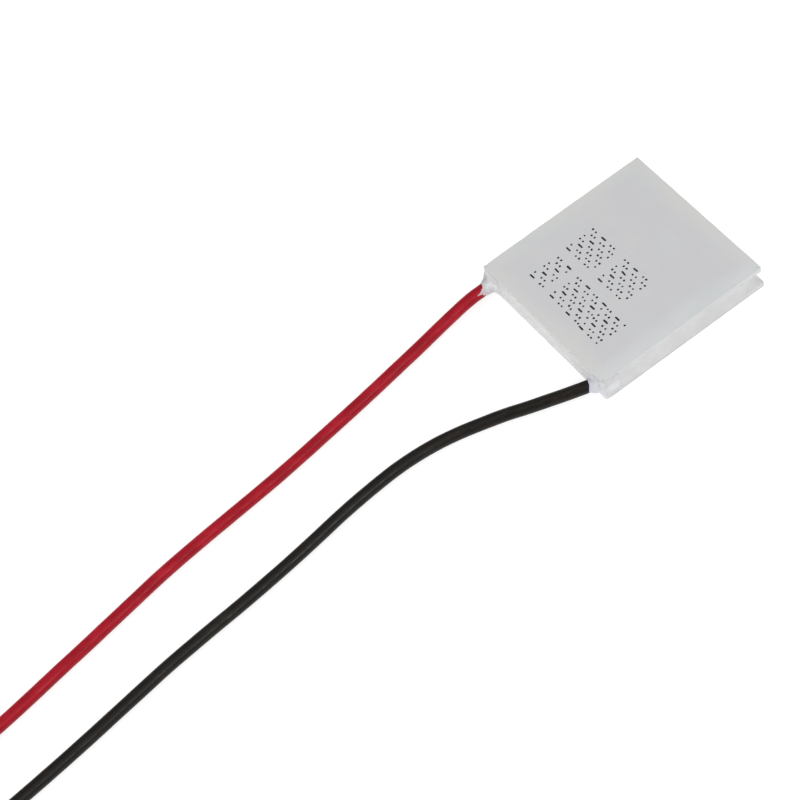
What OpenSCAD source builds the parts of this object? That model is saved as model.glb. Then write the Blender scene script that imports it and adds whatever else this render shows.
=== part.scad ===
// Thermoelectric cooling module: two square ceramic plates with 49 pairs of
// semiconductor pellets soldered between them, a sealed rim, and two leads.
//
// Millimetres. The origin is the centre of the lower plate's underside, +Z
// points out of the upper (cold) plate, and the leads leave towards -Y: the
// red one at the -X corner and the black one at the +X corner.

/* [Plates] */
// Side of the square ceramic plates
plate_side = 25; // [24:0.5:30]
// Thickness of each ceramic plate
ceramic_t = 0.65; // [0.5:0.05:1]

/* [Couples] */
// Side of each square pellet
pellet_w = 1.4; // [1:0.1:1.5]
// Height of each pellet
pellet_h = 1.6; // [1.2:0.1:2.5]
// Thickness of the copper tabs
tab_t = 0.3; // [0.2:0.05:0.5]
// Width by which a tab stands out past its pellets
tab_lip = 0.1; // [0.05:0.05:0.15]
// Thickness of each solder joint
solder_t = 0.05; // [0.03:0.01:0.08]
// Distance from the plate's edge to the outermost pellets
grid_margin = 1; // [1:0.1:1.4]

/* [Seal] */
// Distance from the plate's edge to the rim seal's outer face
seal_inset = 0.3; // [0.1:0.05:0.5]
// Outer radius of the rim seal's corners
seal_r = 1.4; // [0.8:0.1:1.6]

/* [Leads] */
// Outer diameter of a lead's insulation
lead_od = 1.65; // [1.4:0.05:1.8]
// Diameter of the stranded and tinned conductor
core_d = 0.76; // [0.6:0.02:0.8]
// Length of the stripped end that lies inside the module and its sealant
inner_strip = 3.4; // [3:0.1:3.6]
// Length of the stripped and tinned far end
tip_len = 7; // [4:0.5:12]

/* [Hidden] */

rows = 10;                      // pellet positions along each side
half = plate_side / 2;
pitch = (plate_side - 2 * grid_margin - pellet_w) / (rows - 1);
first = -pitch * (rows - 1) / 2;
tab_w = pellet_w + 2 * tab_lip;

z_tab = ceramic_t;                              // underside of the lower tabs
z_joint = z_tab + tab_t;                        // underside of the lower joints
z_pellet = z_joint + solder_t;                  // underside of the pellets
z_joint2 = z_pellet + pellet_h;                 // underside of the upper joints
z_tab2 = z_joint2 + solder_t;                   // underside of the upper tabs
z_top = z_tab2 + tab_t;                         // underside of the upper plate
height = z_top + ceramic_t;

seal_half = half - seal_inset;                  // rim seal, outer face
seal_in = half - grid_margin + tab_lip + 0.05;  // rim seal, inner face

film = 0.02;                                    // solder film under a conductor
z_core = z_joint + film + core_d / 2;           // height of a conductor inside
z_rest = lead_od / 2;                           // height of a lead on the table

sides = 8;                                      // facets round a lead

// Each lead's route, from the cut end of its insulation beside the module to
// the other end: x, y, and how much of its first height it still keeps.
red_points = [
    [-11.15, -13.8, 1], [-11.15, -15.2, 1], [-11.1, -17, 0.75],
    [-10.9, -19.2, 0.35], [-10.55, -21.8, 0.1],
    [-10, -25, 0], [-9.35, -29, 0], [-8.7, -33, 0], [-8.1, -37, 0],
    [-7.55, -41, 0], [-7, -45, 0], [-6.5, -49, 0], [-6.1, -53, 0],
    [-5.75, -57, 0], [-5.4, -61, 0], [-5, -65, 0], [-4.5, -69, 0],
    [-3.85, -73, 0], [-3.2, -77, 0], [-2.55, -81, 0], [-1.95, -85, 0],
    [-1.3, -89, 0], [-0.7, -93, 0], [-0.2, -97, 0],
    [0.3, -102, 0], [0.7, -107, 0], [1, -112, 0], [1.2, -117, 0],
    [1.35, -122, 0], [1.45, -127, 0], [1.5, -132, 0], [1.5, -137, 0],
    [1.5, -142, 0], [1.5, -147, 0], [1.5, -152, 0], [1.5, -156, 0]
];
black_points = [
    [10.15, -13.15, 1], [9.7, -14.5, 1], [8.95, -16.4, 0.8],
    [8.05, -18.4, 0.45], [7.1, -20.6, 0.15], [6.05, -23, 0],
    [5.05, -26, 0], [4.15, -29, 0], [3.5, -32, 0], [3.15, -35, 0],
    [3.05, -38, 0], [3.2, -41, 0], [3.45, -44, 0], [3.8, -47, 0],
    [4.4, -51, 0], [4.95, -55, 0], [5.4, -59, 0], [5.8, -63, 0],
    [6.1, -67, 0], [6.45, -71, 0], [6.85, -75, 0], [7.4, -79, 0],
    [7.95, -83, 0], [8.5, -87, 0], [9, -91, 0], [9.45, -95, 0],
    [9.95, -100, 0], [10.35, -105, 0], [10.65, -110, 0], [10.9, -115, 0],
    [11.1, -120, 0], [11.25, -125, 0], [11.35, -130, 0], [11.4, -135, 0],
    [11.4, -140, 0], [11.4, -145, 0], [11.4, -150, 0], [11.4, -154, 0]
];

// A larger plate carries each lead's exit outwards with its own corner.
grow = half - 12.5;
function placed(p, side) =
    [p[0] + side * grow, p[1] - grow, z_rest + p[2] * (z_core - z_rest)];
red_route = [for (p = red_points) placed(p, -1)];
black_route = [for (p = black_points) placed(p, 1)];

// ---- Positions of the pellets -------------------------------------------

// The current runs up one column of positions and down the next, from the red
// lead's corner to the black lead's. Both of those corners stay free for the
// leads, so the pellets are numbers 1 to 98 along that path.
function place(i) = let (
        col = floor(i / rows),
        r = i % rows,
        row = col % 2 == 0 ? r : rows - 1 - r
    ) [first + col * pitch, first + row * pitch];
last = rows * rows - 2;

module block(w, d, h) {
    translate([-w / 2, -d / 2, 0]) cube([w, d, h]);
}

// One copper tab that joins the pellets at positions a and b.
module tab(a, b) {
    translate([(a[0] + b[0]) / 2, (a[1] + b[1]) / 2, 0])
        block(abs(a[0] - b[0]) + tab_w, abs(a[1] - b[1]) + tab_w, tab_t);
}

// A square of the given height at every pellet from number a on, by steps.
module squares(a, by, h) {
    for (i = [a : by : last])
        translate([place(i)[0], place(i)[1], 0]) block(pellet_w, pellet_w, h);
}

// ---- Plates, tabs and pellets -------------------------------------------

module plate() {
    block(plate_side, plate_side, ceramic_t);
}

module hot_plate() { color([0.9, 0.9, 0.89]) plate(); }

module cold_plate() {
    color([0.9, 0.9, 0.89]) translate([0, 0, height - ceramic_t]) plate();
}

module hot_side_tabs() {
    color([0.72, 0.45, 0.3]) translate([0, 0, z_tab])
        for (i = [2 : 2 : last - 2]) tab(place(i), place(i + 1));
}

module cold_side_tabs() {
    color([0.72, 0.45, 0.3]) translate([0, 0, z_tab2])
        for (i = [1 : 2 : last - 1]) tab(place(i), place(i + 1));
}

module red_lead_pad() {
    color([0.72, 0.45, 0.3]) translate([0, 0, z_tab]) tab(place(0), place(1));
}

module black_lead_pad() {
    color([0.72, 0.45, 0.3]) translate([0, 0, z_tab])
        tab(place(last), place(last + 1));
}

module hot_side_solder() {
    color([0.75, 0.75, 0.76]) translate([0, 0, z_joint])
        squares(1, 1, solder_t);
}

module cold_side_solder() {
    color([0.75, 0.75, 0.76]) translate([0, 0, z_joint2])
        squares(1, 1, solder_t);
}

module n_type_pellets() {
    color([0.45, 0.46, 0.48]) translate([0, 0, z_pellet])
        squares(1, 2, pellet_h);
}

module p_type_pellets() {
    color([0.38, 0.39, 0.41]) translate([0, 0, z_pellet])
        squares(2, 2, pellet_h);
}

// ---- Lead ends -----------------------------------------------------------

// Turns and moves its children so that their +Z runs back into the module
// along the lead's own first stretch, from the cut end of the insulation.
module at_exit(route) {
    back = route[0] - route[1];
    translate(route[0]) rotate([0, 0, atan2(back[1], back[0])])
        rotate([0, 90, 0]) children();
}

module core(route) {
    at_exit(route) cylinder(h = inner_strip, d = core_d, $fn = 48);
}

// A low fillet of solder that holds the conductor down on its pad.
module core_solder(route, side) {
    x = route[0][0] + (route[0] - route[1])[0] / norm(route[0] - route[1]) * 2.7;
    y0 = -seal_in + 0.05;
    difference() {
        intersection() {
            hull() {
                translate([x - 0.6, y0, z_joint]) cube([1.2, 1.5, 0.05]);
                translate([x - 0.45, y0 + 0.1, z_joint])
                    cube([0.9, 1.25, film + core_d * 0.75]);
            }
            translate([side > 0 ? first + pitch * (rows - 1) - tab_w / 2 : first - tab_w / 2, -half, z_joint])
                cube([tab_w, half, pellet_h]);
        }
        at_exit(route) cylinder(h = inner_strip + 2, d = core_d, $fn = 48);
    }
}

// Silicone over the conductor, from the rim seal to the insulation's cut end.
module sealant(route, x0, x1) {
    difference() {
        hull() {
            translate([x0, -half, z_tab])
                cube([x1 - x0, half - seal_half + seal_r, z_top - z_tab]);
            at_exit(route) cylinder(h = 0.05, d = lead_od, $fn = 32);
        }
        translate([0, 0, -1]) plate_cut(ceramic_t + 1);
        translate([0, 0, z_top]) plate_cut(ceramic_t + 1);
        translate([0, 0, -1]) linear_extrude(height + 2) rounded(2 * seal_half, seal_r);
        at_exit(route) translate([0, 0, -1])
            cylinder(h = inner_strip + 3, d = core_d, $fn = 48);
    }
}

// The room that a plate takes, cut from the sealant.
module plate_cut(h) {
    block(plate_side, plate_side, h);
}

// A square with round corners.
module rounded(w, r) {
    square([w - 2 * r, w], center = true);
    square([w, w - 2 * r], center = true);
    for (x = [-1, 1], y = [-1, 1])
        translate([x * (w / 2 - r), y * (w / 2 - r)]) circle(r = r, $fn = 48);
}

// The silicone rim between the plates, with a hole for each conductor.
module edge_seal() {
    color([0.92, 0.92, 0.92]) difference() {
        translate([0, 0, z_tab]) linear_extrude(z_top - z_tab) difference() {
            rounded(2 * seal_half, seal_r);
            square(2 * seal_in, center = true);
        }
        at_exit(red_route) cylinder(h = inner_strip + 2, d = core_d, $fn = 48);
        at_exit(black_route) cylinder(h = inner_strip + 2, d = core_d, $fn = 48);
    }
}

module red_lead_solder() {
    color([0.75, 0.75, 0.76]) core_solder(red_route, -1);
}

module black_lead_solder() {
    color([0.75, 0.75, 0.76]) core_solder(black_route, 1);
}

module red_lead_core() { color([0.8, 0.79, 0.76]) core(red_route); }

module black_lead_core() { color([0.8, 0.79, 0.76]) core(black_route); }

module red_lead_sealant() {
    color([0.87, 0.86, 0.88]) sealant(red_route, -half + 0.15, -half + 2.3);
}

module black_lead_sealant() {
    color([0.86, 0.87, 0.92]) sealant(black_route, half - 3.3, half - 0.15);
}

// ---- Leads ----------------------------------------------------------------

function unit(v) = v / norm(v);
function heading(route, i) = unit(
    route[min(i + 1, len(route) - 1)] - route[max(i - 1, 0)]);
function ring(p, d, r) = let (s = unit(cross(d, [0, 0, 1])), u = cross(s, d))
    [for (k = [0 : sides - 1]) let (a = 360 * (k + 0.5) / sides)
        p + r * (cos(a) * s + sin(a) * u)];

// The insulation: one tube swept along the lead's route.
module tube(route) {
    n = len(route);
    polyhedron(
        points = [for (i = [0 : n - 1])
            each ring(route[i], heading(route, i), lead_od / 2)],
        faces = concat(
            [[for (k = [sides - 1 : -1 : 0]) k]],
            [for (i = [0 : n - 2], k = [0 : sides - 1]) let (j = (k + 1) % sides)
                [i * sides + k, i * sides + j, (i + 1) * sides + j, (i + 1) * sides + k]],
            [[for (k = [0 : sides - 1]) (n - 1) * sides + k]]
        )
    );
}

// The stripped and tinned far end, in line with the last stretch.
module tip(route) {
    n = len(route);
    on = route[n - 1] - route[n - 2];
    translate(route[n - 1]) rotate([0, 0, atan2(on[1], on[0])])
        rotate([0, 90, 0]) cylinder(h = tip_len, d = core_d, $fn = 48);
}

module red_lead() { color([0.68, 0.08, 0.13]) tube(red_route); }

module black_lead() { color([0.1, 0.09, 0.08]) tube(black_route); }

module red_lead_tip() { color([0.8, 0.79, 0.76]) tip(red_route); }

module black_lead_tip() { color([0.8, 0.79, 0.76]) tip(black_route); }

// ---- What is drawn ---------------------------------------------------------

hot_plate();
cold_plate();
hot_side_tabs();
cold_side_tabs();
red_lead_pad();
black_lead_pad();
hot_side_solder();
cold_side_solder();
p_type_pellets();
n_type_pellets();
edge_seal();
red_lead_solder();
black_lead_solder();
red_lead_core();
black_lead_core();
red_lead_sealant();
black_lead_sealant();
red_lead();
black_lead();
red_lead_tip();
black_lead_tip();
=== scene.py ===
import math

import bpy
import numpy as np
from mathutils import Matrix, Vector


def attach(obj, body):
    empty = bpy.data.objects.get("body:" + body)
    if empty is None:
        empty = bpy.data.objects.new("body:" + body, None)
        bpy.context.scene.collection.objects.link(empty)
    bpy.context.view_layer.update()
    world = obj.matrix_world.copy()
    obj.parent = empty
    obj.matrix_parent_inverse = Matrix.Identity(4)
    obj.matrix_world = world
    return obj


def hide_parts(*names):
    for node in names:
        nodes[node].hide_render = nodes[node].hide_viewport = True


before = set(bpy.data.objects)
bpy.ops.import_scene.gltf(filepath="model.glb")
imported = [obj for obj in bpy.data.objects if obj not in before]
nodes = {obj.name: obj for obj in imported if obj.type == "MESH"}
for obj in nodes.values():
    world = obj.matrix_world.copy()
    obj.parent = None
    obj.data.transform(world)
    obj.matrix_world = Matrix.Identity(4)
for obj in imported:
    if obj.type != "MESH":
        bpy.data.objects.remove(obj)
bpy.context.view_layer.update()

MM = 0.001
scene = bpy.context.scene


# ---------------------------------------------------------------- camera
# Where it stands (m), which way it looks (degrees round Z from -Y towards +X, and up), and its roll.
CAM_AT = (0.194583, -0.098064, 0.278200)
CAM_AZ, CAM_EL, CAM_ROLL, CAM_LENS = 71.5812, 52.8056, -20.7785, 126.0065


def make_camera():
    az, el, roll = (math.radians(a) for a in (CAM_AZ, CAM_EL, CAM_ROLL))
    back = Vector((math.sin(az) * math.cos(el), -math.cos(az) * math.cos(el), math.sin(el)))
    level = Vector((math.cos(az), math.sin(az), 0))
    upright = back.cross(level)
    right = level * math.cos(roll) + upright * math.sin(roll)
    up = back.cross(right)
    data = bpy.data.cameras.new("camera")
    data.lens, data.sensor_width = CAM_LENS, 36
    data.clip_start, data.clip_end = 0.01, 20
    cam = bpy.data.objects.new("camera", data)
    scene.collection.objects.link(cam)
    cam.matrix_world = Matrix.Translation(CAM_AT) @ Matrix((right, up, back)).transposed().to_4x4()
    scene.camera = cam


make_camera()


# ---------------------------------------------------------------- mesh helpers
def add_mesh(name, points_mm, faces, sharp=35):
    mesh = bpy.data.meshes.new(name)
    mesh.from_pydata((np.asarray(points_mm, float) * MM).tolist(), [], faces)
    mesh.validate()
    mesh.update()
    mesh.polygons.foreach_set("use_smooth", [True] * len(mesh.polygons))
    mesh.set_sharp_from_angle(angle=math.radians(sharp))
    obj = bpy.data.objects.new(name, mesh)
    scene.collection.objects.link(obj)
    return obj


class Waves:
    """Smooth seeded noise: a sum of sines in as many dimensions as a point has, about -1 to 1."""

    def __init__(self, seed, wavelength, dims=1, terms=9, spread=0.6):
        r = np.random.default_rng(seed)
        k = r.normal(size=(terms, dims))
        k /= np.linalg.norm(k, axis=1)[:, None]
        lengths = wavelength * np.exp(r.uniform(-spread, spread, terms))
        self.k = k * (2 * math.pi / lengths)[:, None]
        self.phase = r.uniform(0, 2 * math.pi, terms)
        self.scale = 1 / math.sqrt(terms / 2) / 1.6

    def __call__(self, *p):
        total = 0
        for k, phase in zip(self.k, self.phase):
            total = total + np.sin(sum(a * b for a, b in zip(k, p)) + phase)
        return total * self.scale


def smoothstep(a, b, x):
    t = np.clip((x - a) / (b - a), 0, 1)
    return t * t * (3 - 2 * t)


def loft(rings, close_start=True, close_end=True):
    """Points and quads of rings of equal size, each joined to the next, with a fan over each end."""
    rings = [np.asarray(r, float) for r in rings]
    n = len(rings[0])
    points = np.concatenate(rings)
    faces = []
    for i in range(len(rings) - 1):
        a, b = i * n, (i + 1) * n
        faces += [(a + j, b + j, b + (j + 1) % n, a + (j + 1) % n) for j in range(n)]
    if close_start:
        points = np.vstack([points, rings[0].mean(0)])
        faces += [(len(points) - 1, j, (j + 1) % n) for j in range(n)]
    if close_end:
        points = np.vstack([points, rings[-1].mean(0)])
        last = (len(rings) - 1) * n
        faces += [(len(points) - 1, last + (j + 1) % n, last + j) for j in range(n)]
    return points, faces


# ---------------------------------------------------------------- the two leads' routes
# The same points as in the part's source: x, y, and how far the centreline is up from lying
# on the surface (0) to its height at the exit (1).
Z_REST, Z_CORE = 0.825, 1.35
LEAD_R, CORE_R, TIP = 0.825, 0.38, 7.0

RED = [(-11.15, -13.8, 1), (-11.15, -15.2, 1), (-11.1, -17, 0.75), (-10.9, -19.2, 0.35), (-10.55, -21.8, 0.1),
       (-10, -25, 0), (-9.35, -29, 0), (-8.7, -33, 0), (-8.1, -37, 0), (-7.55, -41, 0), (-7, -45, 0), (-6.5, -49, 0),
       (-6.1, -53, 0), (-5.75, -57, 0), (-5.4, -61, 0), (-5, -65, 0), (-4.5, -69, 0), (-3.85, -73, 0), (-3.2, -77, 0),
       (-2.55, -81, 0), (-1.95, -85, 0), (-1.3, -89, 0), (-0.7, -93, 0), (-0.2, -97, 0), (0.3, -102, 0),
       (0.7, -107, 0), (1, -112, 0), (1.2, -117, 0), (1.35, -122, 0), (1.45, -127, 0), (1.5, -132, 0),
       (1.5, -137, 0), (1.5, -142, 0), (1.5, -147, 0), (1.5, -152, 0), (1.5, -156, 0)]
BLACK = [(10.15, -13.15, 1), (9.7, -14.5, 1), (8.95, -16.4, 0.8), (8.05, -18.4, 0.45), (7.1, -20.6, 0.15),
         (6.05, -23, 0), (5.05, -26, 0), (4.15, -29, 0), (3.5, -32, 0), (3.15, -35, 0), (3.05, -38, 0), (3.2, -41, 0),
         (3.45, -44, 0), (3.8, -47, 0), (4.4, -51, 0), (4.95, -55, 0), (5.4, -59, 0), (5.8, -63, 0), (6.1, -67, 0),
         (6.45, -71, 0), (6.85, -75, 0), (7.4, -79, 0), (7.95, -83, 0), (8.5, -87, 0), (9, -91, 0), (9.45, -95, 0),
         (9.95, -100, 0), (10.35, -105, 0), (10.65, -110, 0), (10.9, -115, 0), (11.1, -120, 0), (11.25, -125, 0),
         (11.35, -130, 0), (11.4, -135, 0), (11.4, -140, 0), (11.4, -145, 0), (11.4, -150, 0), (11.4, -154, 0)]


def route(points):
    return np.array([(x, y, Z_REST + k * (Z_CORE - Z_REST)) for x, y, k in points], float)


def smooth_line(points, step):
    """A curve through the points (Catmull-Rom), with a point every step or so."""
    p = np.vstack([2 * points[0] - points[1], points, 2 * points[-1] - points[-2]])
    out = []
    for i in range(1, len(p) - 2):
        a, b, c, d = p[i - 1], p[i], p[i + 1], p[i + 2]
        n = max(1, round(np.linalg.norm(c - b) / step))
        ta, tb, tc, td = np.cumsum([0] + [np.linalg.norm(v) ** 0.5 for v in (b - a, c - b, d - c)])
        for t in np.linspace(tb, tc, n, endpoint=False):
            ab = (tb - t) / (tb - ta) * a + (t - ta) / (tb - ta) * b
            bc = (tc - t) / (tc - tb) * b + (t - tb) / (tc - tb) * c
            cd = (td - t) / (td - tc) * c + (t - tc) / (td - tc) * d
            abc = (tc - t) / (tc - ta) * ab + (t - ta) / (tc - ta) * bc
            bcd = (td - t) / (td - tb) * bc + (t - tb) / (td - tb) * cd
            out.append((tc - t) / (tc - tb) * abc + (t - tb) / (tc - tb) * bcd)
    out.append(points[-1])
    out = np.array(out)
    out[:, 2] = np.clip(out[:, 2], Z_REST, Z_CORE)
    return out


def frames(line):
    """Unit tangent, side (level) and up at each point of a line."""
    t = np.gradient(line, axis=0)
    t /= np.linalg.norm(t, axis=1)[:, None]
    side = np.cross(t, (0, 0, 1))
    side /= np.linalg.norm(side, axis=1)[:, None]
    return t, side, np.cross(side, t)


def sweep(line, stations, sides, radius):
    """Rings round a line. Each station is (index on the line, shift along it in mm, radius name or value)."""
    t, side, up = frames(line)
    angle = np.linspace(0, 2 * math.pi, sides, endpoint=False)
    rings = []
    for i, shift, r in stations:
        r = radius(i, angle) * r[1] + r[0] if isinstance(r, tuple) else np.full(sides, float(r))
        centre = line[i] + t[i] * shift
        rings.append(centre + (np.cos(angle) * r)[:, None] * side[i] + (np.sin(angle) * r)[:, None] * up[i])
    return rings


def insulation(name, points, seed):
    """PVC insulation: a tube cut square at both ends, with a short bore where the wire enters. It flattens by a
    hair where it rests."""
    line = smooth_line(points, 0.5)
    last, sides, bore = len(line) - 1, 30, CORE_R + 0.015
    along = np.concatenate([[0], np.cumsum(np.linalg.norm(np.diff(line, axis=0), axis=1))])
    wobble, ripple = Waves(seed, 9, 1), Waves(seed + 1, 2.2, 3)

    def radius(i, angle):
        s = along[i]
        oval = 0.004 * np.cos(2 * angle + 0.4 * wobble(s)) + 0.004 * wobble(s)
        return LEAD_R * (1.002 + oval + 0.0035 * ripple(s, np.cos(angle), np.sin(angle)))

    full, round_off = (0.0, 1.0), [(0.0, -0.055), (0.012, -0.024), (0.035, -0.006)]
    stations = [(0, 0.9, bore), (0, 0.0, bore)]
    stations += [(0, shift, (r, 1.0)) for shift, r in round_off] + [(0, 0.08, full)]
    stations += [(i, 0.0, full) for i in range(1, last)]
    stations += [(last, -0.08, full)] + [(last, -shift, (r, 1.0)) for shift, r in reversed(round_off)]
    stations += [(last, 0.0, bore), (last, -0.9, bore)]
    rings = sweep(line, stations, sides, radius)
    for ring in rings:
        if ring[:, 2].min() < -0.02:
            raise ValueError(f"{name} reaches {ring[:, 2].min()} mm below the surface")
        ring[:, 2] = np.maximum(ring[:, 2], 0.001)
    points_out, faces = loft(rings)
    return add_mesh(name, points_out, faces, sharp=50), line


def strands(name, start, end, turn_mm, seed, cut_start=True, cut_end=True, fill=0.82):
    """A tinned wire end: six strands laid round a seventh, with the solder's meniscus between them."""
    start, end = np.array(start, float), np.array(end, float)
    length = np.linalg.norm(end - start)
    line = start + np.linspace(0, 1, max(12, round(length / 0.14)) + 1)[:, None] * (end - start)
    along = np.linspace(0, length, len(line))
    one, sides = CORE_R / 3, 48
    rough = Waves(seed, 0.8, 3)

    def radius(i, angle):
        turned = angle - 2 * math.pi * along[i] / turn_mm
        off = (turned + math.pi / 6) % (math.pi / 3) - math.pi / 6
        lobe = 2 * one * np.cos(off) + np.sqrt(np.maximum(one**2 - (2 * one * np.sin(off)) ** 2, 0))
        floor = 3 * one * fill
        soft = 0.035
        r = floor + soft * np.log1p(np.exp(np.clip((lobe - floor) / soft, -30, 30)))
        r = r / (floor + soft * np.log1p(math.exp((3 * one - floor) / soft))) * CORE_R
        return np.minimum(r + 0.004 * rough(along[i], np.cos(angle), np.sin(angle)), CORE_R * 1.01)

    last = len(line) - 1
    stations = [(0, 0.0, (-0.07, 1.0)), (0, 0.02, (-0.025, 1.0)), (0, 0.06, (0.0, 1.0))] if cut_start else [(0, 0, (0.0, 1.0))]
    stations += [(i, 0.0, (0.0, 1.0)) for i in range(1, last)]
    stations += [(last, -0.06, (0.0, 1.0)), (last, -0.02, (-0.025, 1.0)), (last, 0.0, (-0.07, 1.0))] if cut_end else [(last, 0, (0.0, 1.0))]
    points_out, faces = loft(sweep(line, stations, sides, radius))
    return add_mesh(name, points_out, faces, sharp=60)


red_route, black_route = route(RED), route(BLACK)
red_lead, red_line = insulation("red_lead_insulation", red_route, 11)
black_lead, black_line = insulation("black_lead_insulation", black_route, 23)


def beyond(points, by):
    """The point that far past the route's far end (by > 0) or back from its near end (by < 0)."""
    a, b = (points[-2], points[-1]) if by > 0 else (points[1], points[0])
    return b + (b - a) / np.linalg.norm(b - a) * abs(by)


red_tip = strands("red_lead_tinned_end", red_route[-1] + (0, 0.8, 0), red_route[-1] + (0, -TIP, 0), 9, 31, cut_start=False)
black_tip = strands("black_lead_tinned_end", black_route[-1] + (0, 0.8, 0), black_route[-1] + (0, -TIP, 0), 9, 37, cut_start=False)
red_core = strands("red_lead_inner_strands", beyond(red_route, -3.4), red_route[0] + (0, -0.8, 0), 9, 41, fill=0.9)
black_core = strands("black_lead_inner_strands", beyond(black_route, -3.4), black_route[0] + 0.8 * (black_route[1] - black_route[0]) / np.linalg.norm(black_route[1] - black_route[0]), 9, 43, fill=0.9)


# ---------------------------------------------------------------- ceramic plates
SIDE, PLATE_T, HEIGHT = 12.5, 0.65, 3.6


def graded(first, growth, most, total):
    steps = []
    while sum(steps) < total:
        steps.append(min(most, first * growth ** len(steps)))
    steps = np.array(steps) * total / sum(steps)
    return np.concatenate([[0], np.cumsum(steps)])


def ceramic_plate(name, z0, z1, corner_r, chips_top, chips_bottom, seed):
    """A plate snapped from a scribed sheet: slightly uneven edges, eased rims, rounded corners and a few small chips.
    A chip is (corner 0-3 anticlockwise from -X -Y, mm along the next side, width, depth)."""
    half = graded(0.06, 1.06, 0.42, SIDE)
    at = np.concatenate([-SIDE + half, (SIDE - half[::-1])[1:]])
    n = len(at)
    loop = [(i, 0) for i in range(n - 1)] + [(n - 1, j) for j in range(n - 1)] + [(n - 1 - i, n - 1) for i in range(n - 1)] + [(0, n - 1 - j) for j in range(n - 1)]
    uneven = Waves(seed, 3.5, 1), Waves(seed + 1, 0.7, 1)

    def round_corners(p, m):
        """A point of the square ring of half side m, moved onto that ring with rounded corners."""
        r = np.where(m > SIDE - 3, 1, 0) * smoothstep(SIDE - 3, SIDE, m)
        which = (p[..., 0] > 0) * 1 + (p[..., 1] > 0) * 2
        r = r * np.choose(which, [corner_r[0], corner_r[1], corner_r[3], corner_r[2]])
        q = np.clip(p, -(m - r)[..., None], (m - r)[..., None])
        d = p - q
        length = np.linalg.norm(d, axis=-1)
        both = (np.abs(d[..., 0]) > 1e-9) & (np.abs(d[..., 1]) > 1e-9)
        scale = np.where(both, r / np.maximum(length, 1e-9), 1)
        return q + d * scale[..., None]

    def perimeter(p):
        """How far along the outline a point is, and its outward normal, both by the nearest side."""
        x, y = p[..., 0], p[..., 1]
        bottom, right, top = (y <= -abs(x)), (x >= abs(y)), (y >= abs(x))
        s = np.where(bottom, x + SIDE, np.where(right, 3 * SIDE + y, np.where(top, 5 * SIDE - x, 7 * SIDE - y)))
        nx = np.where(right & ~bottom, 1.0, np.where(bottom | top, 0.0, -1.0))
        ny = np.where(bottom, -1.0, np.where(top & ~right, 1.0, 0.0))
        return s, np.stack([nx, ny], -1)

    def chip(s, chips):
        depth = np.zeros_like(s)
        for corner, along, width, deep in chips:
            u = (s - (corner * 2 * SIDE + along) + 4 * SIDE) % (8 * SIDE) - 4 * SIDE
            depth = np.maximum(depth, deep * np.clip(1 - (u / (width / 2)) ** 2, 0, 1) ** 0.8)
        return depth

    X, Y = np.meshgrid(at, at, indexing="ij")
    base = np.stack([X, Y], -1)
    m = np.maximum(abs(X), abs(Y))
    s, normal = perimeter(base)
    edge = smoothstep(1.2, 0, SIDE - m)
    drift = 0.014 * uneven[0](s) + 0.005 * uneven[1](s) - 0.015
    flat = round_corners(base, m) + normal * (drift * edge)[..., None]
    inward = -normal
    ease = 0.045

    def face(z, chips):
        inset = (ease + chip(s, chips)) * smoothstep(0.9, 0, SIDE - m)
        return np.concatenate([flat + inward * inset[..., None], np.full((n, n, 1), z)], -1)

    def rim(z, inset, chips_now, share):
        rows = []
        for i, j in loop:
            c = chip(s[i, j], chips_now) * share
            p = flat[i, j] + inward[i, j] * (inset + c)
            rows.append((p[0], p[1], z))
        return np.array(rows)

    top, bottom = face(z1, chips_top), face(z0, chips_bottom)
    rims = [
        rim(z0 + 0.3 * ease, 0.3 * ease, chips_bottom, 0.8),
        rim(z0 + ease, 0, chips_bottom, 0.55),
        rim(z0 + 0.3 * PLATE_T, 0, chips_bottom, 0.15),
        rim((z0 + z1) / 2, 0, chips_top, 0.0),
        rim(z1 - 0.3 * PLATE_T, 0, chips_top, 0.15),
        rim(z1 - ease, 0, chips_top, 0.55),
        rim(z1 - 0.3 * ease, 0.3 * ease, chips_top, 0.8),
    ]
    points = np.concatenate([top.reshape(-1, 3), bottom.reshape(-1, 3)] + rims)
    idx = np.arange(n * n).reshape(n, n)
    faces = []
    for i in range(n - 1):
        for j in range(n - 1):
            a, b, c, d = idx[i, j], idx[i + 1, j], idx[i + 1, j + 1], idx[i, j + 1]
            faces.append((a, b, c, d))
            faces.append((a + n * n, d + n * n, c + n * n, b + n * n))
    count = len(loop)
    ring = [[idx[i, j] + n * n for i, j in loop]]
    ring += [[2 * n * n + k * count + q for q in range(count)] for k in range(len(rims))]
    ring += [[idx[i, j] for i, j in loop]]
    for low, high in zip(ring, ring[1:]):
        for q in range(count):
            faces.append((low[q], low[(q + 1) % count], high[(q + 1) % count], high[q]))
    return add_mesh(name, points, [tuple(int(v) for v in f) for f in faces], sharp=40)


hot_plate = ceramic_plate("hot_plate_ceramic", 0, PLATE_T, (0.3, 0.34, 0.26, 0.3),
                          [(1, 0.9, 0.7, 0.05), (2, 22.9, 0.5, 0.05)], [(1, 0.45, 0.7, 0.09), (3, 3.2, 0.6, 0.05)], 61)
cold_plate = ceramic_plate("cold_plate_ceramic", HEIGHT - PLATE_T, HEIGHT, (0.28, 0.3, 0.36, 0.26),
                           [(2, 0.5, 0.6, 0.06), (3, 24.4, 0.5, 0.05), (0, 6.1, 0.4, 0.03)], [(2, 0.4, 0.7, 0.08), (0, 0, 1.5, 0.28)], 67)


# ---------------------------------------------------------------- silicone between the plates
SEAL_IN = 11.65


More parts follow.
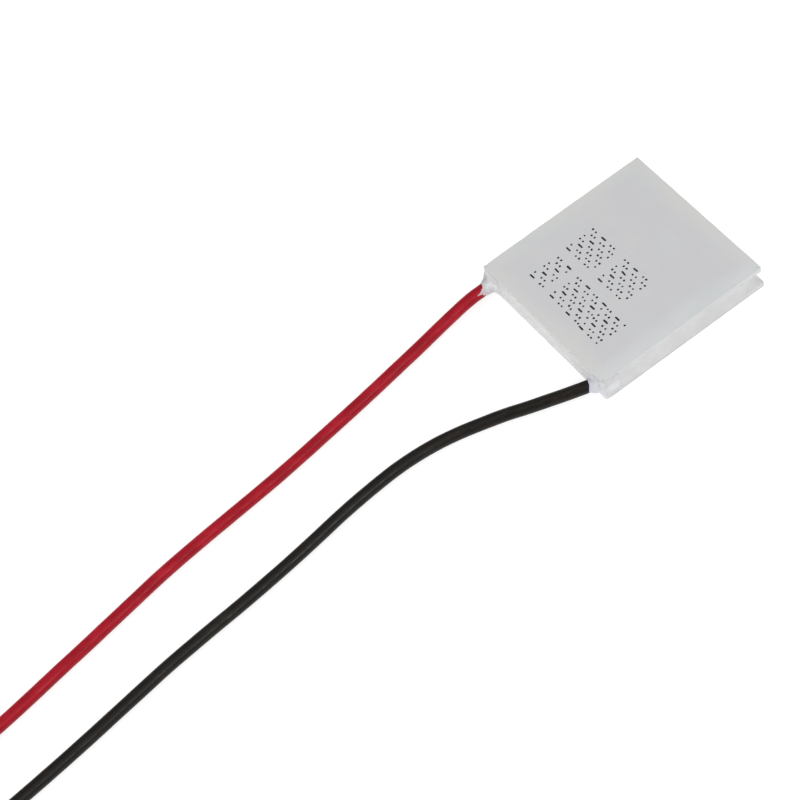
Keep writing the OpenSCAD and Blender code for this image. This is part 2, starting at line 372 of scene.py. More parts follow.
def rounded_square(half, r, step):
    """Points, normals and lengths round a rounded square, anticlockwise from the middle of the -Y side."""
    arc, straight = r * math.pi / 2, 2 * (half - r)
    total = 4 * (arc + straight)
    count = round(total / step)
    points, normals = [], []
    for s in np.arange(count) * total / count:
        s0 = s + straight / 2
        k, rest = int(s0 // (arc + straight)), s0 % (arc + straight)
        turn = k * math.pi / 2
        if rest <= straight:
            p, a = np.array([-straight / 2 + rest, -half]), -math.pi / 2
        else:
            a = -math.pi / 2 + (rest - straight) / r
            p = np.array([straight / 2 + r * math.cos(a), -(half - r) + r * math.sin(a)])
        c, sn = math.cos(turn), math.sin(turn)
        points.append((c * p[0] - sn * p[1], sn * p[0] + c * p[1]))
        normals.append((math.cos(a + turn), math.sin(a + turn)))
    return np.array(points), np.array(normals), np.arange(count) * total / count


def seal():
    """The silicone rim: it fills the gap and is wiped thinly over the plates' side faces, and is drawn back at
    three corners and where the leads come out."""
    p, nrm, s = rounded_square(12.2, 1.4, 0.16)
    wrap = 2 * math.pi * s / (s[-1] + s[1])
    c, sn = np.cos(wrap), np.sin(wrap)
    slow, mid, fine = Waves(71, 0.55, 2), Waves(73, 0.14, 3), Waves(79, 0.03, 3)
    low, high, ragged = Waves(83, 0.25, 2), Waves(89, 0.25, 2), Waves(97, 0.05, 2)
    x, y = p[:, 0], p[:, 1]
    from_corner = np.hypot(12.2 - abs(x), 12.2 - abs(y))
    full_at = np.where((y < -11) & (x < 0), 1.2, np.where((y < 0) & (x > 0) & (from_corner < 5), 1.4, 3.2))
    begin = np.where(full_at < 2, 0.5, 0.9)
    gap = smoothstep(begin, full_at, from_corner)
    over = smoothstep(full_at - 0.6, full_at + 1.2, from_corner)
    for exit_x in (-11.15, 10.9):  # each lead's own silicone fills the gap there
        beside = np.where(y < -11, abs(x - exit_x), 9)
        gap, over = gap * smoothstep(1.0, 1.6, beside), over * smoothstep(1.3, 2.2, beside)
    proud = 0.335 * gap
    bottom = PLATE_T - 0.004 - over * (0.49 + 0.04 * low(c, sn) + 0.02 * ragged(c, sn))
    top = HEIGHT - PLATE_T + 0.004 + over * (0.50 + 0.04 * high(c, sn) + 0.02 * ragged(sn, c))
    rest = np.minimum(proud + 0.02, 0.262)
    # at a drawn-back corner it runs out over the lower plate's ledge
    room = np.min((12.44 - abs(p)) / np.maximum(abs(nrm), 1e-6), axis=1)
    foot = np.clip(np.minimum(0.86, room - proud), 0, 1) * (1 - gap)
    rows = []
    for v in (0, 0.012, 0.03, 0.055, 0.09, 0.14, 0.2, 0.3, 0.4, 0.5, 0.6, 0.7, 0.8, 0.86, 0.91, 0.945, 0.97, 0.988, 1):
        z = bottom + v * (top - bottom)
        hollow = (0.02 * (2 * v - 1) ** 4 - 0.02 * (1 - (2 * v - 1) ** 2)) * (1 - over)
        bumps = 0.012 * slow(c, sn) + 0.010 * mid(c, sn, v * 0.12) + 0.004 * fine(c, sn, v * 0.1)
        out = proud + (hollow + bumps) * smoothstep(0.0, 0.15, proud + 0.03)
        out = np.clip(out, np.where(over > 0.02, 0.312, -1), 0.372) + foot * max(0, 1 - v / 0.45) ** 2
        rise = min(1, v / 0.05, (1 - v) / 0.05)
        out = rest + (out - rest) * np.where(gap < 1, 1, math.sqrt(rise * (2 - rise)))
        rows.append(np.column_stack([p + nrm * out[:, None], z]))
    # the hidden faces: down the plates' sides, along their inner faces, and the inner wall
    back = p + nrm * (rest - 0.014)[:, None]
    wall = p / np.abs(p).max(axis=1)[:, None] * SEAL_IN
    flat = np.ones(len(p))
    for ring, z in ((back, top), (back, flat * (HEIGHT - PLATE_T)), (wall, flat * (HEIGHT - PLATE_T)), (wall, flat * HEIGHT / 2),
                    (wall, flat * PLATE_T), (back, flat * PLATE_T), (back, bottom)):
        rows.append(np.column_stack([ring, z]))
    n, k = len(p), len(rows)
    faces = []
    for r in range(k):
        a, b = r * n, ((r + 1) % k) * n
        faces += [(a + j, a + (j + 1) % n, b + (j + 1) % n, b + j) for j in range(n)]
    return add_mesh("edge_seal_silicone", np.concatenate(rows), faces, sharp=50)


edge_seal = seal()


# ---------------------------------------------------------------- silicone over the leads' exits
def join_pinches(F, value):
    """Fills single grid points until no face or cell of the grid holds two sheets of the surface, so that the mesh
    has no edge or point where two sheets only touch."""
    for _ in range(80):
        inside, fill = F < 0, np.zeros(F.shape, bool)

        def mark(pairs, crossed):
            # of each crossed pair of outside points, the one nearer the surface
            for a, b in pairs:
                first = F[a] <= F[b]
                fill[a] |= crossed & ~inside[a] & first
                fill[b] |= crossed & ~inside[b] & ~first

        lower, upper, whole = slice(None, -1), slice(1, None), slice(None)
        for d in range(3):
            view = {}
            for i in (0, 1):
                for j in (0, 1):
                    at = [whole] * 3
                    at[(d + 1) % 3], at[(d + 2) % 3] = (lower, upper)[i], (lower, upper)[j]
                    view[i, j] = tuple(at)
            a, b, c, e = (inside[view[k]] for k in ((0, 0), (1, 1), (1, 0), (0, 1)))
            mark([(view[1, 0], view[0, 1])], a & b & ~c & ~e)
            mark([(view[0, 0], view[1, 1])], ~a & ~b & c & e)
        cell = {k: tuple((lower, upper)[v] for v in k) for k in np.ndindex(2, 2, 2)}
        count = sum(inside[v].astype(int) for v in cell.values())
        for k in ((0, 0, 0), (1, 0, 0), (0, 1, 0), (0, 0, 1)):
            near, far = cell[k], cell[tuple(1 - v for v in k)]
            mark([(near, far)], (count == 6) & ~inside[near] & ~inside[far])
            beside = cell[(1 - k[0], k[1], k[2])]
            fill[beside] |= (count == 2) & inside[near] & inside[far]
        if not fill.any():
            return F
        F[fill & ~inside] = value
    raise ValueError("the grid still holds a pinched place")


def surface_nets(field, lo, hi, step):
    """A closed mesh of field = 0 (negative inside) on a regular grid."""
    axes = [np.arange(lo[k], hi[k] + step, step) for k in range(3)]
    F = join_pinches(field(*np.meshgrid(*axes, indexing="ij")), -0.1 * step)
    inside = F < 0
    shape = np.array(F.shape) - 1
    corners = [(i, j, k) for i in (0, 1) for j in (0, 1) for k in (0, 1)]
    cut = lambda A, c: A[c[0]:c[0] + shape[0], c[1]:c[1] + shape[1], c[2]:c[2] + shape[2]]
    count = sum(cut(inside, c).astype(int) for c in corners)
    active = (count > 0) & (count < 8)
    cells = np.argwhere(active)
    index = np.full(active.shape, -1)
    index[tuple(cells.T)] = np.arange(len(cells))
    values = np.stack([cut(F, c)[active] for c in corners], 1)
    total, hits = np.zeros((len(cells), 3)), np.zeros(len(cells))
    for a, ca in enumerate(corners):
        for b, cb in enumerate(corners):
            if a < b and sum(abs(x - y) for x, y in zip(ca, cb)) == 1:
                fa, fb = values[:, a], values[:, b]
                crossing = (fa < 0) != (fb < 0)
                t = np.where(crossing, fa / np.where(crossing, fa - fb, 1), 0)
                at = np.array(ca) + t[:, None] * (np.array(cb) - np.array(ca))
                total += at * crossing[:, None]
                hits += crossing
    points = np.array(lo) + step * (cells + total / hits[:, None])
    faces = []
    for d in range(3):
        e, f = (d + 1) % 3, (d + 2) % 3
        size = list(F.shape)
        size[d] -= 1
        one = np.zeros(3, int)
        one[d] = 1
        grid = np.argwhere(inside[:size[0], :size[1], :size[2]] != inside[one[0]:one[0] + size[0], one[1]:one[1] + size[1], one[2]:one[2] + size[2]])
        grid = grid[(grid[:, e] > 0) & (grid[:, f] > 0) & (grid[:, e] < F.shape[e] - 1) & (grid[:, f] < F.shape[f] - 1)]
        be, bf = np.zeros(3, int), np.zeros(3, int)
        be[e], bf[f] = 1, 1
        quad = np.stack([index[tuple((grid - o).T)] for o in (0 * be, be, be + bf, bf)], 1)
        flip = ~inside[tuple(grid.T)]
        quad[flip] = quad[flip][:, ::-1]
        faces.append(quad)
    faces = np.concatenate(faces)
    return points, [tuple(int(v) for v in q) for q in faces]


def blend_min(a, b, k):
    h = np.clip(0.5 + 0.5 * (b - a) / k, 0, 1)
    return b * (1 - h) + a * h - k * h * (1 - h)


def cone_field(X, Y, Z, a, b, ra, rb):
    """Distance to a round-ended cone from a to b."""
    a, b = np.array(a, float), np.array(b, float)
    d = b - a
    t = np.clip(((X - a[0]) * d[0] + (Y - a[1]) * d[1] + (Z - a[2]) * d[2]) / (d @ d), 0, 1)
    return np.sqrt((X - a[0] - t * d[0]) ** 2 + (Y - a[1] - t * d[1]) ** 2 + (Z - a[2] - t * d[2]) ** 2) - (ra + (rb - ra) * t)


def block_field(X, Y, Z, lo, hi, r):
    lo, hi = np.array(lo, float), np.array(hi, float)
    c, h = (lo + hi) / 2, (hi - lo) / 2 - r
    q = [abs(V - c[k]) - h[k] for k, V in enumerate((X, Y, Z))]
    return np.sqrt(sum(np.maximum(v, 0) ** 2 for v in q)) + np.minimum(np.maximum(np.maximum(q[0], q[1]), q[2]), 0) - r


def prism(X, Y, Z, half, r, low, high):
    """Distance to an upright block, square with rounded corners, round the module's middle."""
    qx, qy = abs(X) - (half - r), abs(Y) - (half - r)
    flat = np.hypot(np.maximum(qx, 0), np.maximum(qy, 0)) + np.minimum(np.maximum(qx, qy), 0) - r
    return np.maximum(flat, abs(Z - (low + high) / 2) - (high - low) / 2)


def outside_plates(X, Y, Z):
    """Distance to the room of the two plates and the rim seal, drawn in by a hair so that no gap shows."""
    plates = np.minimum(prism(X, Y, Z, 12.45, 0.36, -1, PLATE_T), prism(X, Y, Z, 12.45, 0.36, HEIGHT - PLATE_T, HEIGHT + 1))
    return np.minimum(plates, prism(X, Y, Z, 12.17, 1.4, 0, HEIGHT))


def square_end(X, Y, Z, at, towards):
    """Signed distance past the plane at a point, positive towards the lead's far end."""
    t = np.array(towards, float) / np.linalg.norm(towards)
    return (X - at[0]) * t[0] + (Y - at[1]) * t[1] + (Z - at[2]) * t[2]


STEP = 0.055


def red_exit():
    noise, small = Waves(101, 1.5, 3), Waves(103, 0.5, 3)
    exit_at = red_route[0]

    def field(X, Y, Z):
        # drawn from the gap between the plates to the insulation's end: an oblong section that becomes a disc
        t = np.clip((-12.45 - Y) / 1.35, 0, 1)
        left, right = -12.0 - 0.01 * t, -9.95 - 0.34 * t**0.45
        low, high = 0.55 - 0.06 * t, 3.02 - 0.81 * t
        r = 0.2 + 0.65 * t**0.6
        qx, qz = abs(X - (left + right) / 2) - (right - left) / 2 + r, abs(Z - (low + high) / 2) - (high - low) / 2 + r
        d = np.hypot(np.maximum(qx, 0), np.maximum(qz, 0)) + np.minimum(np.maximum(qx, qz), 0) - r
        along = square_end(X, Y, Z, exit_at, (0, -1, 0))
        d = np.maximum(np.maximum(0.85 * d, Y + 11.4), along)
        wiped = block_field(X, Y, Z, (-12.08, -12.57, 0.22), (-9.2, -11.4, 3.54), 0.03)
        d = blend_min(d, wiped, 0.8)
        d = d + (0.045 * noise(X, Y, Z) + 0.014 * small(X, Y, Z)) * smoothstep(-12.5, -12.8, Y)
        # a thin skin drawn out along the insulation to a point
        rho = np.hypot(X - exit_at[0], Z - exit_at[2])
        angle = np.degrees(np.arctan2(Z - exit_at[2], X - exit_at[0]))
        off = (angle - 38 + 180) % 360 - 180
        reach = np.interp(off, (-180, -90, -74, -58, -15, 0, 15, 34, 60, 90, 180), (0.1, 0.2, 0.27, 0.36, 0.85, 1.6, 0.85, 0.34, 0.12, 0.03, 0.1))
        reach = reach + 0.05 * small(X * 0, angle * 0.02, Z * 0)
        skin_r = LEAD_R + 0.065 * np.clip((reach - along) / 0.35, 0, 1) ** 0.5 - 0.01
        skin = np.maximum(np.maximum(rho - skin_r, along - reach), -along - 0.3)
        d = blend_min(d, skin, 0.06)
        # the insulation's own room
        wire = np.maximum(rho - (LEAD_R - 0.02), -along)
        d = np.maximum(d, -wire)
        d = np.maximum(d, -outside_plates(X, Y, Z))
        return np.maximum(d, 0.01 - Z)

    return surface_nets(field, (-13.2, -16.2, -0.1), (-8.6, -10.9, 3.8), STEP)


def black_exit():
    noise, small = Waves(107, 1.6, 3), Waves(109, 0.5, 3)
    exit_at, towards = black_route[0], black_route[1] - black_route[0]

    def field(X, Y, Z):
        wiped = np.maximum(np.maximum(prism(X, Y, Z, 12.57, 0.36, 0.25, 3.54), 9.25 - X), Y + 11.4)
        neck = cone_field(X, Y, Z, (10.17, -13.1, 1.36), (10.85, -12.25, 1.72), 0.845, 1.12)
        low = cone_field(X, Y, Z, (10.35, -13.15, 1.3), (11.1, -12.3, 1.1), 0.7, 0.62)
        d = blend_min(blend_min(neck, low, 0.2), wiped, 0.3)
        # smeared up the upper plate's edge, and round the corner
        smear = block_field(X, Y, Z, (10.75, -12.60, 2.7), (12.1, -12.3, 3.56), 0.06)
        round_corner = np.maximum(np.maximum(prism(X, Y, Z, 12.59, 0.37, 0.3, 3.5), 11.9 - X), Y + 10.1)
        d = blend_min(blend_min(d, smear, 0.12), round_corner, 0.12)
        d = d + (0.04 * noise(X, Y, Z) + 0.012 * small(X, Y, Z)) * smoothstep(-12.5, -12.75, Y)
        along = square_end(X, Y, Z, exit_at, towards)
        t = towards / np.linalg.norm(towards)
        px, py, pz = X - exit_at[0] - along * t[0], Y - exit_at[1] - along * t[1], Z - exit_at[2] - along * t[2]
        rho = np.sqrt(px**2 + py**2 + pz**2)
        across = px * -t[1] + py * t[0]
        # it laps a little over the insulation on its +X side
        lap = np.maximum(rho - LEAD_R - 0.035, along - np.interp(across - 0.55 * pz, (-0.9, 0.1, 1.05), (0.0, 0.1, 0.42)))
        d = np.maximum(d, along - 0.03)
        d = blend_min(d, np.maximum(lap, -along - 0.3), 0.05)
        wire = np.maximum(rho - (LEAD_R - 0.02), -along)
        d = np.maximum(d, -wire)
        d = np.maximum(d, -outside_plates(X, Y, Z))
        d = np.maximum(d, Z - (HEIGHT - 0.03))
        return np.maximum(d, 0.01 - Z)

    return surface_nets(field, (8.4, -14.8, -0.1), (13.0, -9.6, 3.8), STEP)


def silicone_dab(name, made):
    points, faces = made
    obj = add_mesh(name, points, faces, sharp=180)
    # the grid's steps are smoothed away without moving the form
    modifier = obj.modifiers.new("ease", "SMOOTH")
    modifier.factor, modifier.iterations = 0.5, 4
    bpy.context.view_layer.update()
    eased = bpy.data.meshes.new_from_object(obj.evaluated_get(bpy.context.evaluated_depsgraph_get()))
    obj.modifiers.clear()
    obj.data = eased
    obj.data.name = name
    return obj


red_dab = silicone_dab("red_lead_exit_silicone", red_exit())
black_dab = silicone_dab("black_lead_exit_silicone", black_exit())


# ---------------------------------------------------------------- ink marks on the upper face
def marks():
    """A plain ink-jet hatch that spells nothing: slanting stripes two dots wide, with every so many dots drawn
    out into a dash, in two rows of oblong fields."""
    r = np.random.default_rng(5)
    # each field: first and last x, lowest row's y, lean per row
    fields = [(-7.2, -2.3, -2.95, 0.0), (-0.5, 4.4, -3.05, 0.01),
              (-7.1, -4.5, -8.85, 0.05), (-2.75, 0.2, -9.0, 0.05), (0.75, 3.2, -9.15, 0.05), (3.75, 7.2, -9.3, 0.05)]
    points, faces = [], []

    def blot(x, y, length, radius):
        n = 16
        a = np.linspace(0, 2 * math.pi, n, endpoint=False)
        edge = radius * (1 + 0.07 * np.sin(2 * a + r.uniform(0, 6)) + 0.05 * np.sin(3 * a + r.uniform(0, 6)))
        px, py = edge * np.cos(a), edge * np.sin(a)
        px = px + np.sign(np.cos(a)) * length / 2 * np.minimum(1, abs(np.cos(a)) * 3)
        tilt = r.normal(0, 0.03)
        px, py = px * math.cos(tilt) - py * math.sin(tilt), px * math.sin(tilt) + py * math.cos(tilt)
        start = len(points)
        for scale, z in ((1.0, -0.002), (1.0, 0.002), (0.9, 0.006), (0.55, 0.008)):
            shrink = np.where(length > 0, 1 - (1 - scale) * 0.4, scale)
            points.extend(zip(x + px * shrink, y + py * scale, np.full(n, HEIGHT + z)))
        for k in range(3):
            q = start + k * n
            faces.extend((q + j, q + (j + 1) % n, q + n + (j + 1) % n, q + n + j) for j in range(n))
        points.append((x, y, HEIGHT + 0.0085))
        points.append((x, y, HEIGHT - 0.002))
        top, low = len(points) - 2, len(points) - 1
        faces.extend((top, start + 3 * n + j, start + 3 * n + (j + 1) % n) for j in range(n))
        faces.extend((low, start + (j + 1) % n, start + j) for j in range(n))

    for x0, x1, y0, lean in fields:
        columns = round((x1 - x0) / 0.62) + 1
        pitch = (x1 - x0) / (columns - 1)
        for row in range(7):
            for column in range(columns):
                stripe, long_one = (column + row) % 3, (2 * row + column) % 5 == 0
                before = stripe == 1 and column > 0 and (2 * row + column - 1) % 5 == 0
                if stripe == 2 or before:
                    continue
                x = x0 + column * pitch + row * lean + r.normal(0, 0.02)
                y = y0 + row * 0.69 + r.normal(0, 0.02)
                if stripe == 0 and long_one and column < columns - 1:
                    blot(x + pitch / 2, y, 0.62, 0.130 * r.uniform(0.9, 1.1))
                else:
                    blot(x, y, 0, 0.150 * r.uniform(0.85, 1.15))
    return add_mesh("face_ink_marks", points, faces, sharp=60)


ink = marks()


# ---------------------------------------------------------------- materials
class Shader:
    """A node material. Colours are built from noise on the object's own coordinates, in metres."""

    def __init__(self, name, **sockets):
        self.material = bpy.data.materials.new(name)
        self.material.use_nodes = True
        self.nodes, self.links = self.material.node_tree.nodes, self.material.node_tree.links
        self.bsdf = self.nodes["Principled BSDF"]
        for socket, value in sockets.items():
            self.bsdf.inputs[socket.replace("_", " ")].default_value = value
        self.coordinates = self.nodes.new("ShaderNodeTexCoord").outputs["Object"]

    def noise(self, size_mm, detail=2, rough=0.5, stretch=(1, 1, 1), shift=0.0):
        node = self.nodes.new("ShaderNodeTexNoise")
        node.inputs["Scale"].default_value = 1
        node.inputs["Detail"].default_value = detail
        node.inputs["Roughness"].default_value = rough
        mapping = self.nodes.new("ShaderNodeMapping")
        mapping.inputs["Scale"].default_value = tuple(1000 / size_mm / s for s in stretch)
        mapping.inputs["Location"].default_value = (shift, shift * 1.7, shift * 0.6)
        self.links.new(self.coordinates, mapping.inputs["Vector"])
        self.links.new(mapping.outputs["Vector"], node.inputs["Vector"])
        return node.outputs["Fac"]

    def cells(self, size_mm, feature="F1", output="Distance", stretch=(1, 1, 1)):
        node = self.nodes.new("ShaderNodeTexVoronoi")
        node.feature = feature
        node.inputs["Scale"].default_value = 1
        mapping = self.nodes.new("ShaderNodeMapping")
        mapping.inputs["Scale"].default_value = tuple(1000 / size_mm / s for s in stretch)
        self.links.new(self.coordinates, mapping.inputs["Vector"])
        self.links.new(mapping.outputs["Vector"], node.inputs["Vector"])
        return node.outputs[output]

    def near(self, point_mm, inner_mm, outer_mm, stretch=(1, 1, 1)):
        """1 within inner_mm of a point, falling to 0 at outer_mm."""
        mapping = self.nodes.new("ShaderNodeMapping")
        mapping.inputs["Scale"].default_value = tuple(1000 / k for k in stretch)
        mapping.inputs["Location"].default_value = tuple(-v / k for v, k in zip(point_mm, stretch))
        self.links.new(self.coordinates, mapping.inputs["Vector"])
        node = self.nodes.new("ShaderNodeVectorMath")
        node.operation = "LENGTH"
        self.links.new(mapping.outputs["Vector"], node.inputs[0])
        return self.between(node.outputs["Value"], inner_mm, outer_mm, 1.0, 0.0)

    def axis(self, name):
        node = self.nodes.new("ShaderNodeSeparateXYZ")
        self.links.new(self.coordinates, node.inputs["Vector"])
        return node.outputs[name]

    def math(self, kind, a, b=None, c=None, clamp=False):
        node = self.nodes.new("ShaderNodeMath")
        node.operation, node.use_clamp = kind, clamp
        for i, v in enumerate((a, b, c)):
            if v is None:
                continue
            if isinstance(v, (int, float)):
                node.inputs[i].default_value = v
            else:
                self.links.new(v, node.inputs[i])
        return node.outputs[0]

    def between(self, value, low, high, to_low=0.0, to_high=1.0, soft=True):
        node = self.nodes.new("ShaderNodeMapRange")
        node.interpolation_type = "SMOOTHSTEP" if soft else "LINEAR"
        self.links.new(value, node.inputs["Value"])
        for socket, v in (("From Min", low), ("From Max", high), ("To Min", to_low), ("To Max", to_high)):
            node.inputs[socket].default_value = v
        return node.outputs["Result"]

    def mix(self, fac, a, b, kind="MIX"):
        node = self.nodes.new("ShaderNodeMix")
        node.data_type, node.blend_type = "RGBA", kind
        if isinstance(fac, (int, float)):
            node.inputs["Factor"].default_value = fac
        else:
            self.links.new(fac, node.inputs["Factor"])
        for socket, v in ((6, a), (7, b)):
            if isinstance(v, tuple):
                node.inputs[socket].default_value = v
            else:
                self.links.new(v, node.inputs[socket])
        return node.outputs[2]

    def colour(self, output):
        self.links.new(output, self.bsdf.inputs["Base Color"])

    def roughness(self, output):
        self.links.new(output, self.bsdf.inputs["Roughness"])

    def bump(self, height, distance_mm, strength=1.0, under=None):
        node = self.nodes.new("ShaderNodeBump")
        node.inputs["Distance"].default_value = distance_mm * MM
        node.inputs["Strength"].default_value = strength
        self.links.new(height, node.inputs["Height"])
        if under is not None:
            self.links.new(under, node.inputs["Normal"])
        self.links.new(node.outputs["Normal"], self.bsdf.inputs["Normal"])
        return node.outputs["Normal"]

    def on(self, *objects):
        for o in objects:
            o.data.materials.clear()
            o.data.materials.append(self.material)
        return self.material


def alumina():
    m = Shader("alumina", Specular_IOR_Level=0.35)
    x, y = m.axis("X"), m.axis("Y")
    edge = m.math("MAXIMUM", m.math("ABSOLUTE", x), m.math("ABSOLUTE", y))
    cloud = m.noise(5.5, 3, 0.55)
    # painted light: the plate lightens towards its edges, standing in for the light that translucent alumina carries to
    # its rim
    rim = m.between(m.math("ADD", edge, m.math("MULTIPLY", m.math("SUBTRACT", cloud, 0.5), 0.0026)), 0.0094, 0.0124)
    base = m.mix(rim, (0.567, 0.564, 0.586, 1), (0.606, 0.606, 0.592, 1))
    # partly a silicone smear, partly painted light: lighter and bluer towards the +X edge, so the top face blends into
    # the lit side wall
    right = m.between(m.math("ADD", x, m.math("MULTIPLY", m.math("SUBTRACT", cloud, 0.5), 0.0026)), 0.0094, 0.0124)
    base = m.mix(right, base, (0.612, 0.630, 0.640, 1))
    cool = m.between(m.noise(6.5, 2, 0.5, shift=3.1), 0.46, 0.72)
    warm = m.between(m.noise(5.0, 2, 0.5, shift=8.7), 0.52, 0.76)
    base = m.mix(m.math("MULTIPLY", cool, 0.55), base, (0.566, 0.588, 0.592, 1))
    base = m.mix(m.math("MULTIPLY", warm, 0.45), base, (0.604, 0.600, 0.578, 1))
    grain = m.noise(0.16, 3, 0.6)
    base = m.mix(m.between(grain, 0.3, 0.7, 0, 0.12), base, (0.655, 0.655, 0.655, 1))
    base = m.mix(m.between(edge, 0.01236, 0.01248, 0, 0.4), base, (0.560, 0.562, 0.566, 1))
    # painted shade: darker towards the bottom, where the floor's contact shadow falls
    base = m.mix(m.between(m.axis("Z"), 0.00006, 0.00035, 0.8, 0.0), base, (0.450, 0.458, 0.454, 1))
    m.colour(base)
    m.roughness(m.between(m.noise(1.2, 3, 0.6), 0.3, 0.7, 0.44, 0.56))
    m.bump(m.noise(0.09, 3, 0.65), 0.0022, 0.5)
    return m


def white_silicone():
    m = Shader("white_silicone", Specular_IOR_Level=0.4)
    cloud = m.noise(2.6, 3, 0.55)
    base = m.mix(m.between(cloud, 0.35, 0.68), (0.545, 0.546, 0.551, 1), (0.592, 0.591, 0.593, 1))
    # painted shade: darker towards the bottom, where the floor's contact shadow falls
    base = m.mix(m.between(m.axis("Z"), 0.00012, 0.00055, 0.8, 0.0), base, (0.470, 0.478, 0.474, 1))
    m.colour(base)
    m.roughness(m.between(m.noise(0.9, 2), 0.3, 0.7, 0.30, 0.46))
    m.bump(m.noise(0.35, 3, 0.55), 0.010, 0.5)
    return m


def clear_silicone():
    m = Shader("clear_silicone", Specular_IOR_Level=0.4, Subsurface_Weight=0.1, Subsurface_Scale=0.0003)
    base = m.mix(m.between(m.noise(0.9, 3, 0.6), 0.36, 0.66), (0.520, 0.526, 0.545, 1), (0.565, 0.570, 0.585, 1))
    # thick and bluish at the leads; painted shade greys the red one's shoulder; a painted highlight whitens it where it
    # is wiped round the corner
    base = m.mix(m.near((10.5, -12.9, 1.6), 0.5, 1.5), base, (0.510, 0.525, 0.610, 1))
    base = m.mix(m.near((-11.7, -13.05, 2.2), 0.35, 1.0), base, (0.375, 0.400, 0.392, 1))
    # painted light: lighter in the hollow beside the red exit, over the fillet's shading
    base = m.mix(m.near((-10.1, -12.8, 2.1), 0.2, 0.8), base, (0.640, 0.645, 0.650, 1))
    # painted highlight: whiter on the smear wiped round the corner
    base = m.mix(m.near((12.5, -11.1, 1.75), 0.4, 1.1, stretch=(1, 1.3, 0.9)), base, (0.640, 0.642, 0.645, 1))
    # so thin over the red insulation that the red shows through
    base = m.mix(m.between(m.axis("Y"), -0.0149, -0.0136, 0.55, 0.0), base, (0.560, 0.200, 0.240, 1))
    m.colour(base)
    m.roughness(m.between(m.noise(0.6, 2), 0.3, 0.7, 0.26, 0.40))
    m.bump(m.noise(0.3, 2, 0.5), 0.010, 0.5)
    return m


def pvc(name, deep, body, light, spec, rough):
    m = Shader(name, Specular_IOR_Level=spec)
    along = m.noise(0.55, 3, 0.55, stretch=(1, 7, 1))
    patch = m.noise(1.5, 3, 0.6, stretch=(1, 2.5, 1), shift=4.0)
    base = m.mix(m.between(along, 0.36, 0.66), deep, body)
    base = m.mix(m.between(patch, 0.50, 0.74, 0, 0.55), base, light)
    m.colour(base)
    m.roughness(m.between(m.noise(0.4, 3, 0.6, stretch=(1, 3, 1)), 0.3, 0.7, rough - 0.12, rough + 0.10))
    m.bump(m.noise(0.30, 3, 0.6, stretch=(1, 3, 1)), 0.014, 0.6)
    return m


def tinned():
    m = Shader("tinned_copper", Metallic=1.0)
    base = m.mix(m.between(m.noise(0.7, 3), 0.35, 0.7), (0.33, 0.33, 0.325, 1), (0.50, 0.495, 0.485, 1))
    m.colour(base)
    m.roughness(m.between(m.noise(0.25, 3, 0.6), 0.3, 0.7, 0.26, 0.40))
    m.bump(m.noise(0.12, 3, 0.6), 0.006, 0.5)
    return m


def copper():
    m = Shader("copper_tab", Metallic=1.0)
    base = m.mix(m.between(m.noise(0.8, 3), 0.35, 0.7), (0.78, 0.36, 0.22, 1), (0.62, 0.27, 0.17, 1))
    base = m.mix(m.between(m.noise(0.25, 2, shift=2.0), 0.56, 0.72, 0, 0.5), base, (0.36, 0.17, 0.12, 1))
    m.colour(base)
    m.roughness(m.between(m.noise(0.3, 3, 0.6), 0.3, 0.7, 0.28, 0.46))
    m.bump(m.noise(0.10, 3, 0.6), 0.006, 0.5)
    return m


def solder():
    m = Shader("solder", Metallic=1.0)
    base = m.mix(m.between(m.cells(0.18), 0.2, 0.7), (0.50, 0.50, 0.49, 1), (0.66, 0.66, 0.64, 1))
    m.colour(base)
    m.roughness(m.between(m.noise(0.2, 3, 0.6), 0.3, 0.7, 0.30, 0.50))
    m.bump(m.cells(0.18), 0.006, 0.4)
    return m


def telluride(name, a, b):
    m = Shader(name, Metallic=0.85)
    grain = m.cells(0.22, output="Color", stretch=(1, 1, 4))
    split = m.nodes.new("ShaderNodeSeparateColor")
    m.links.new(grain, split.inputs["Color"])
    base = m.mix(m.between(split.outputs["Red"], 0.1, 0.9, soft=False), a, b)
    m.colour(base)
    m.roughness(m.between(split.outputs["Green"], 0.0, 1.0, 0.30, 0.55, soft=False))
    m.bump(split.outputs["Blue"], 0.006, 0.4)
    return m


def ink_black():
    m = Shader("marking_ink", Specular_IOR_Level=0.3)
    base = m.mix(m.between(m.noise(0.12, 3, 0.6), 0.35, 0.7), (0.010, 0.009, 0.014, 1), (0.030, 0.027, 0.036, 1))
    m.colour(base)
    m.roughness(m.between(m.noise(0.2, 2), 0.3, 0.7, 0.50, 0.68))
    m.bump(m.noise(0.06, 2), 0.002, 0.5)
    return m


alumina().on(cold_plate, hot_plate)
white_silicone().on(edge_seal)
clear_silicone().on(red_dab, black_dab)
pvc("red_pvc", (0.283, 0.0028, 0.0115, 1), (0.362, 0.0042, 0.0160, 1), (0.435, 0.0120, 0.0265, 1), 0.15, 0.40).on(red_lead)
pvc("black_pvc", (0.0032, 0.0018, 0.0008, 1), (0.0068, 0.0044, 0.0022, 1), (0.0210, 0.0155, 0.0100, 1), 0.225, 0.38).on(black_lead)
tinned().on(red_tip, black_tip, red_core, black_core)
ink_black().on(ink)

copper().on(nodes["hot_side_tabs"], nodes["cold_side_tabs"], nodes["red_lead_pad"], nodes["black_lead_pad"])
solder().on(nodes["hot_side_solder"], nodes["cold_side_solder"], nodes["red_lead_solder"], nodes["black_lead_solder"])
telluride("bismuth_telluride_p", (0.20, 0.21, 0.23, 1), (0.34, 0.35, 0.38, 1)).on(nodes["p_type_pellets"])
telluride("bismuth_telluride_n", (0.26, 0.25, 0.25, 1), (0.42, 0.41, 0.40, 1)).on(nodes["n_type_pellets"])
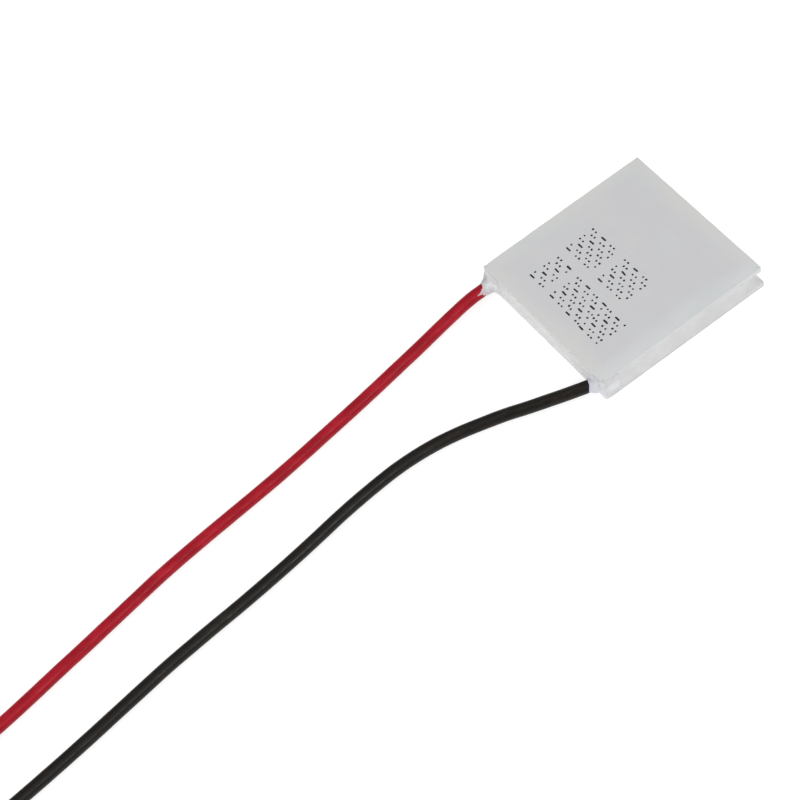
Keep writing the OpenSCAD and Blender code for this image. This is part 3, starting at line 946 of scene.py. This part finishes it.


# ---------------------------------------------------------------- what rides and what replaces
for piece, node, slot_name in (
    (cold_plate, "cold_plate", "alumina"), (hot_plate, "hot_plate", "alumina"), (edge_seal, "edge_seal", "white_silicone"),
    (red_dab, "red_lead_sealant", "clear_silicone"), (black_dab, "black_lead_sealant", "clear_silicone"),
    (red_lead, "red_lead", "red_pvc"), (black_lead, "black_lead", "black_pvc"),
    (red_tip, "red_lead_tip", "tinned_copper"), (black_tip, "black_lead_tip", "tinned_copper"),
    (red_core, "red_lead_core", "tinned_copper"), (black_core, "black_lead_core", "tinned_copper"),
):
    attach(piece, "root")
    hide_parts(node)
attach(ink, "root")


# ---------------------------------------------------------------- floor and light
def make_stage():
    mesh = bpy.data.meshes.new("floor")
    s = 1.5
    mesh.from_pydata([(-s, -s, -0.00002), (s, -s, -0.00002), (s, s, -0.00002), (-s, s, -0.00002)], [], [(0, 1, 2, 3)])
    floor = bpy.data.objects.new("floor", mesh)
    scene.collection.objects.link(floor)
    m = Shader("floor_white", Specular_IOR_Level=0.0, Roughness=1.0)
    m.colour(m.mix(m.noise(60, 2), (0.345, 0.345, 0.345, 1), (0.355, 0.355, 0.355, 1)))
    m.bsdf.inputs["Emission Color"].default_value = (1, 1, 1, 1)
    m.bsdf.inputs["Emission Strength"].default_value = 0.75
    m.on(floor)

    world = bpy.data.worlds.new("studio")
    world.use_nodes = True
    world.node_tree.nodes["Background"].inputs["Color"].default_value = (1, 1, 1, 1)
    world.node_tree.nodes["Background"].inputs["Strength"].default_value = 0.55
    scene.world = world

    def softbox(name, azimuth, elevation, distance, size, power, tint=(1, 1, 1)):
        a, e = math.radians(azimuth), math.radians(elevation)
        back = Vector((math.sin(a) * math.cos(e), -math.cos(a) * math.cos(e), math.sin(e)))
        light = bpy.data.lights.new(name, "AREA")
        light.shape, light.size, light.size_y = "RECTANGLE", size[0], size[1]
        light.energy, light.color = power, tint
        o = bpy.data.objects.new(name, light)
        o.location = Vector((0, -0.02, 0)) + back * distance
        o.rotation_mode = "QUATERNION"
        o.rotation_quaternion = back.to_track_quat("Z", "Y")
        scene.collection.objects.link(o)

    softbox("top_softbox", 116, 76, 0.9, (0.8, 0.8), 1.15)
    softbox("strip_softbox", 116, 38, 0.9, (0.6, 0.24), 2.5)
    softbox("lead_side_softbox", 8, 25, 0.9, (0.7, 0.35), 3.8)


make_stage()
scene.view_settings.view_transform = "Standard"
scene.view_settings.look = "None"
